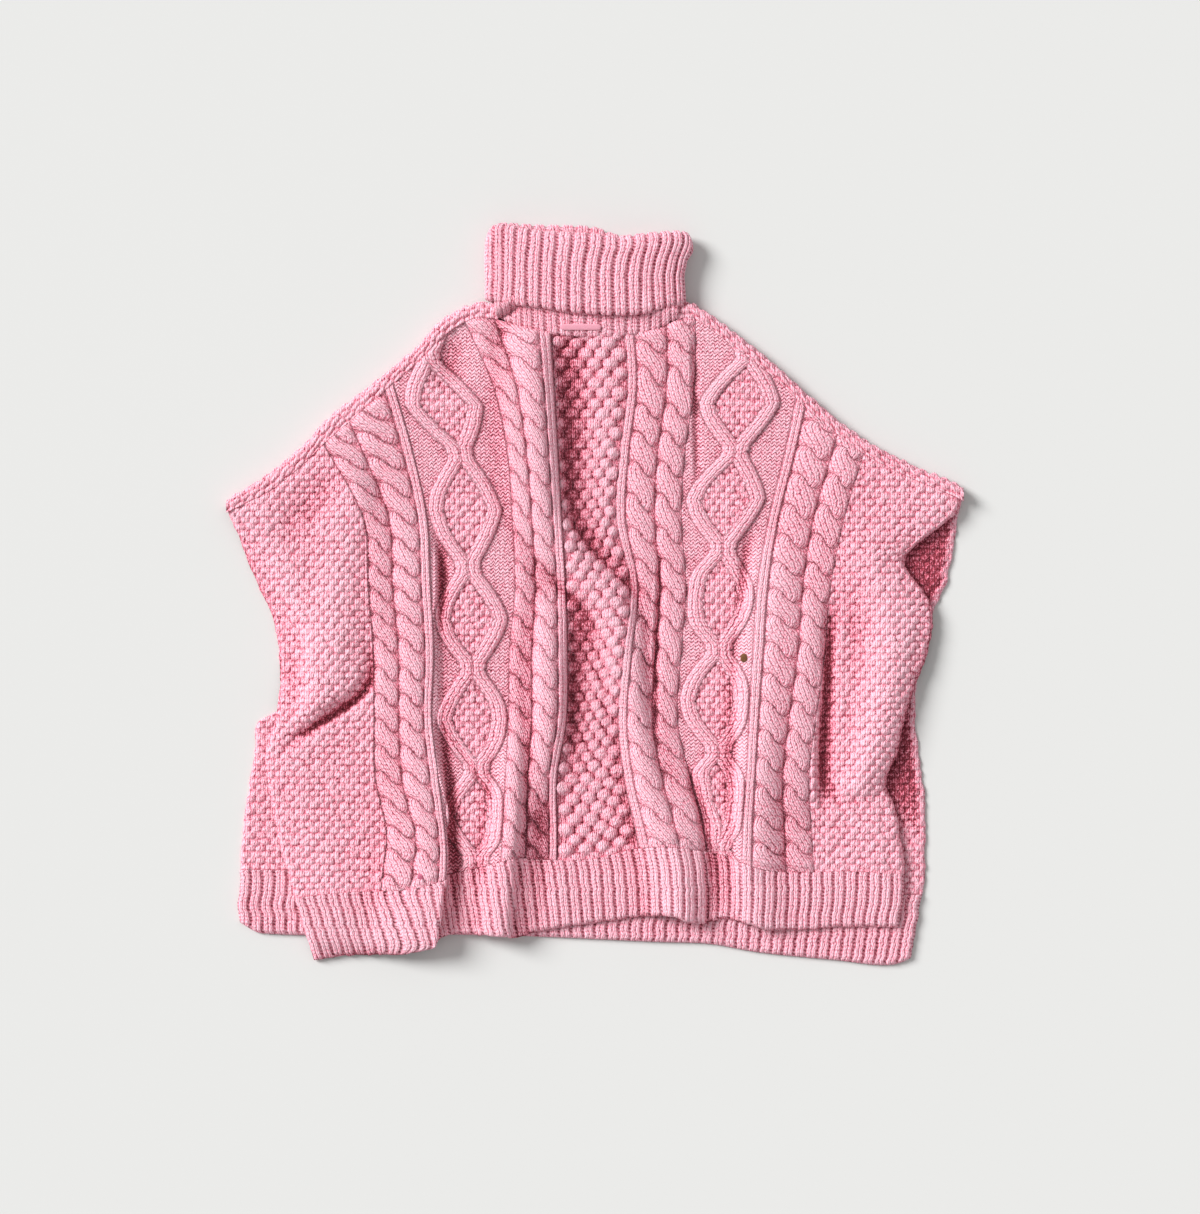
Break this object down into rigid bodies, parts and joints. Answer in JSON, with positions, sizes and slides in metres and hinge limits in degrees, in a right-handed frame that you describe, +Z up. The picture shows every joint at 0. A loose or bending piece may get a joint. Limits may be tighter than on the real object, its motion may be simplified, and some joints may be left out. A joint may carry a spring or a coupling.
{
  "type": "knitted poncho sweater laid flat",
  "caption": "Wide cable-knit poncho sweater laid flat: knitted front and back panels with ribbed hems, open sides and a turned-down ribbed turtleneck.",
  "frame": {"origin": "centre of the laid garment's box, on the surface it lies on", "axes": "+Z up from the surface, +Y towards the turtleneck, +X to the viewer's right when the front faces up"},
  "size_m": [0.774, 0.7689, 0.0362],
  "materials": {
    "cable_knit": "heathered pink wool-blend yarn, matt and softly fuzzy",
    "plain_knit": "heathered pink wool-blend yarn, matt and softly fuzzy",
    "rib_knit": "heathered pink wool-blend rib, matt and softly fuzzy",
    "tab": "smooth woven tape, matt",
    "pink_yarn": "pink yarn, matt",
    "brown_yarn": "brown yarn, matt"
  },
  "bodies": {
    "root": {"front_panel": "cable_knit", "front_hem": "rib_knit", "back_panel": "plain_knit", "back_hem": "rib_knit", "turtleneck": "rib_knit", "neck_tab": "tab", "hem_knot": "pink_yarn", "side_knot": "brown_yarn"}
  },
  "joints": []
}
